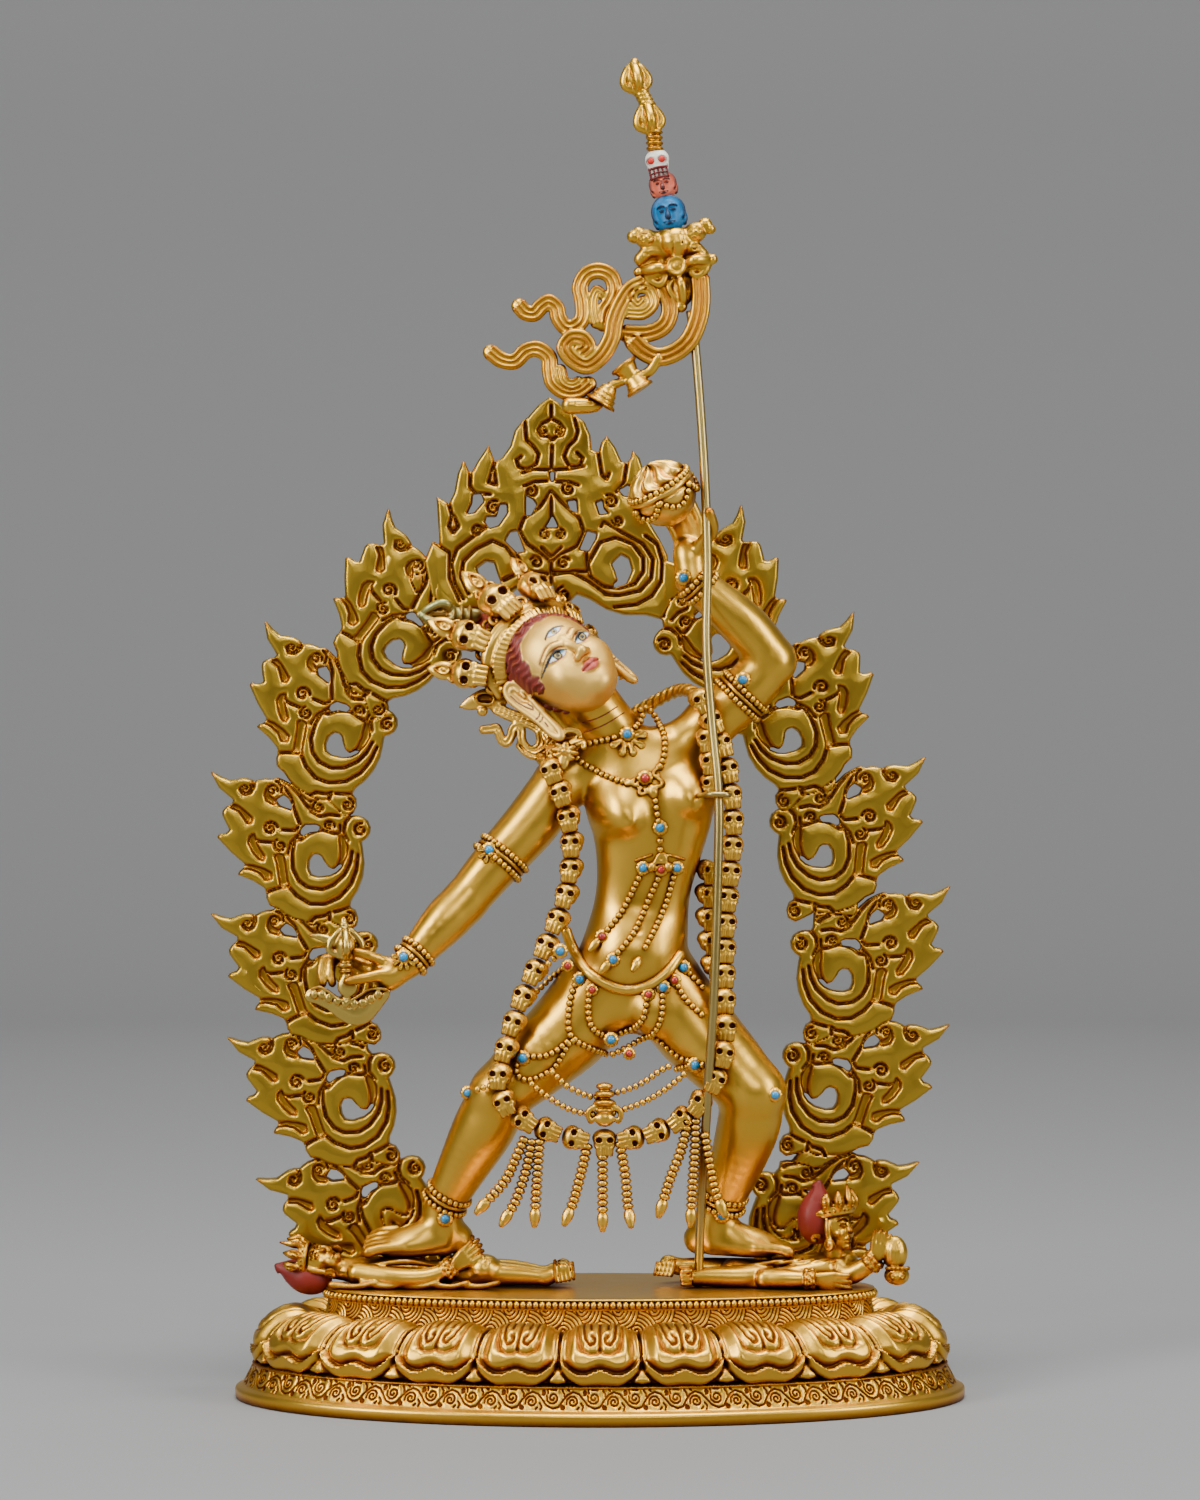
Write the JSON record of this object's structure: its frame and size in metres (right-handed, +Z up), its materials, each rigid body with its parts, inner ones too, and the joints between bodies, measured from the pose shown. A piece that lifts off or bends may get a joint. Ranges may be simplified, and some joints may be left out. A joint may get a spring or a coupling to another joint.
{
  "type": "vajrayogini figure",
  "caption": "Gilt standing female deity figure in a lunging pose with skull cup, curved knife and staff, on an oval lotus base before a pierced flame aureole",
  "frame": {"origin": "middle of the base's flat underside", "axes": "+Z up, -Y towards the viewer of the front, +X to the viewer's right"},
  "size_m": [0.2397, 0.1198, 0.4194],
  "materials": {
    "gilt_copper": "satin gilding, burnished on the high parts, orange-brown in the recesses",
    "pale_brass": "drawn rod, worn satin",
    "turquoise": "polished cabochon",
    "coral": "polished cabochon"
  },
  "bodies": {
    "root": {"lotus_base": "gilt_copper", "flame_aureole": "gilt_copper", "figure": "gilt_copper", "skull_garland": "gilt_copper", "curved_knife": "gilt_copper", "skull_cup": "gilt_copper", "staff_rod": "pale_brass", "staff_finial": "gilt_copper", "near_trampled_body": "gilt_copper", "far_trampled_body": "gilt_copper", "turquoise_01": "turquoise", "turquoise_02": "turquoise", "turquoise_03": "turquoise", "turquoise_04": "turquoise", "turquoise_05": "turquoise", "turquoise_06": "turquoise", "turquoise_07": "turquoise", "turquoise_08": "turquoise", "turquoise_09": "turquoise", "turquoise_10": "turquoise", "turquoise_11": "turquoise", "turquoise_12": "turquoise", "turquoise_13": "turquoise", "turquoise_14": "turquoise", "turquoise_15": "turquoise", "turquoise_16": "turquoise", "turquoise_17": "turquoise", "turquoise_18": "turquoise", "turquoise_19": "turquoise", "turquoise_20": "turquoise", "coral_01": "coral", "coral_02": "coral", "coral_03": "coral", "coral_04": "coral", "coral_05": "coral", "coral_06": "coral", "coral_07": "coral", "coral_08": "coral", "coral_09": "coral"}
  },
  "joints": []
}
